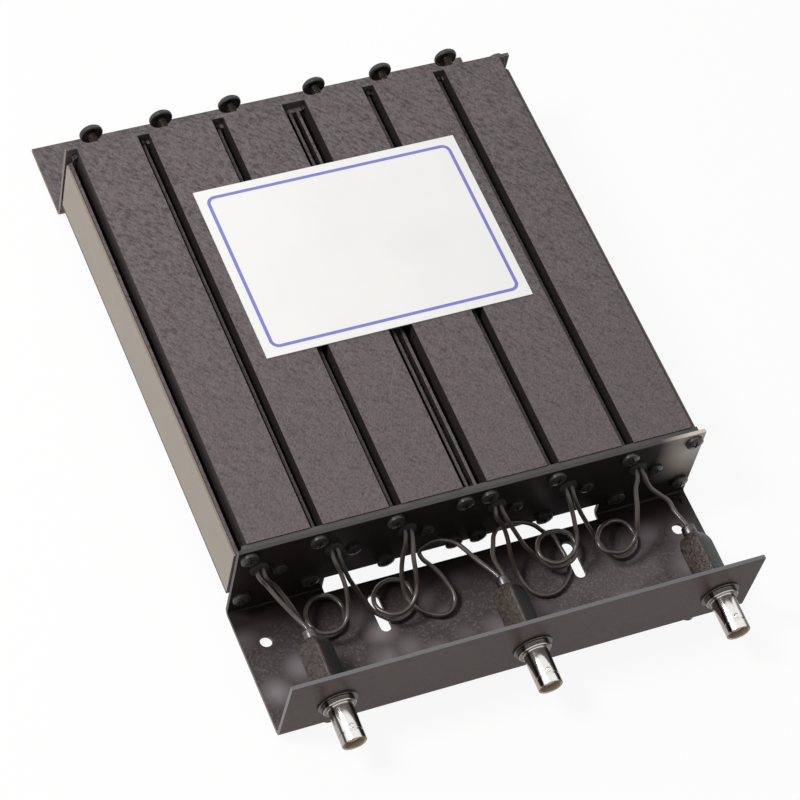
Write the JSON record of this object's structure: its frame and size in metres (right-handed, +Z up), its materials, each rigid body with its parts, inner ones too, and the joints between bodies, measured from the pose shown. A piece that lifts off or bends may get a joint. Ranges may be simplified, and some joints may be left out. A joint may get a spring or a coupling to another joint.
{
  "type": "duplexer",
  "caption": "Flat notch duplexer: ribbed black cavities between folded sheets, coaxial jacks on a front flange, looped coaxial leads and push-pull tuning rods at the rear.",
  "frame": {"origin": "centre of the bounding box at its base, level with the underside of the feet", "axes": "+Z up, +Y from the jacks on the front flange towards the tuning knobs, +X to the right seen from the jacks"},
  "size_m": [0.19, 0.2994, 0.0448],
  "materials": {
    "black_sheet": "satin black paint",
    "end_sheet": "satin black paint",
    "wrinkle_black": "wrinkle coat, soft sheen",
    "cover_satin": "smooth satin coat",
    "label_white": "satin white film with a printed blue border",
    "copper_rod": "dull copper",
    "brass_bush": "turned brass",
    "rod_dark": "dark threaded steel",
    "knob_metal": "dark turned metal with a knurled edge",
    "nut_metal": "plated steel",
    "grommet_black": "matte black rubber",
    "lead_jacket": "dark jacket with a soft gloss",
    "nickel": "bright nickel plate",
    "washer_black": "black oxide",
    "insulator_tan": "cream plastic",
    "contact_gold": "gold plate",
    "boot_brown": "dark moulded plastic, slightly glossy",
    "ferrule_silver": "plated, dull",
    "screw_black": "black oxide",
    "foot_black": "matte black rubber"
  },
  "bodies": {
    "duplexer": {"front_bracket": "black_sheet", "rear_bracket": "wrinkle_black", "front_end_plate": "end_sheet", "rear_end_plate": "wrinkle_black", "cavity_block_left": "wrinkle_black", "cavity_block_right": "wrinkle_black", "side_cover_left": "cover_satin", "side_cover_right": "cover_satin", "label_plate": "label_white", "resonator_1": "copper_rod", "resonator_2": "copper_rod", "resonator_3": "copper_rod", "resonator_4": "copper_rod", "resonator_5": "copper_rod", "resonator_6": "copper_rod", "tuning_bushings": "brass_bush", "lock_nuts": "nut_metal", "coupling_loops": "copper_rod", "port_grommets": "grommet_black", "lead_1": "lead_jacket", "lead_2": "lead_jacket", "lead_3": "lead_jacket", "lead_4": "lead_jacket", "lead_5": "lead_jacket", "lead_6": "lead_jacket", "lead_7": "lead_jacket", "lead_8": "lead_jacket", "jack_left": "nickel", "jack_middle": "nickel", "jack_right": "nickel", "jack_nuts": "nut_metal", "jack_washers": "washer_black", "jack_insulators": "insulator_tan", "jack_contacts": "contact_gold", "boot_left": "boot_brown", "boot_middle": "boot_brown", "boot_right": "boot_brown", "jack_ferrules": "ferrule_silver", "front_top_screws": "screw_black", "front_bottom_screws": "screw_black", "resonator_screws": "screw_black", "rear_top_screws": "screw_black", "rear_bottom_screws": "screw_black", "base_feet": "foot_black"},
    "tuner_1": {"tuning_rod_1": "rod_dark", "tuning_knob_1": "knob_metal"},
    "tuner_2": {"tuning_rod_2": "rod_dark", "tuning_knob_2": "knob_metal"},
    "tuner_3": {"tuning_rod_3": "rod_dark", "tuning_knob_3": "knob_metal"},
    "tuner_4": {"tuning_rod_4": "rod_dark", "tuning_knob_4": "knob_metal"},
    "tuner_5": {"tuning_rod_5": "rod_dark", "tuning_knob_5": "knob_metal"},
    "tuner_6": {"tuning_rod_6": "rod_dark", "tuning_knob_6": "knob_metal"}
  },
  "joints": [
    {"name": "tuning_slide_1", "type": "slide", "parent": "duplexer", "child": "tuner_1", "axis": [0, 1, 0], "range_m": [-0.012, 0.01]},
    {"name": "tuning_slide_2", "type": "slide", "parent": "duplexer", "child": "tuner_2", "axis": [0, 1, 0], "range_m": [-0.012, 0.01]},
    {"name": "tuning_slide_3", "type": "slide", "parent": "duplexer", "child": "tuner_3", "axis": [0, 1, 0], "range_m": [-0.012, 0.01]},
    {"name": "tuning_slide_4", "type": "slide", "parent": "duplexer", "child": "tuner_4", "axis": [0, 1, 0], "range_m": [-0.012, 0.01]},
    {"name": "tuning_slide_5", "type": "slide", "parent": "duplexer", "child": "tuner_5", "axis": [0, 1, 0], "range_m": [-0.012, 0.01]},
    {"name": "tuning_slide_6", "type": "slide", "parent": "duplexer", "child": "tuner_6", "axis": [0, 1, 0], "range_m": [-0.012, 0.01]}
  ]
}
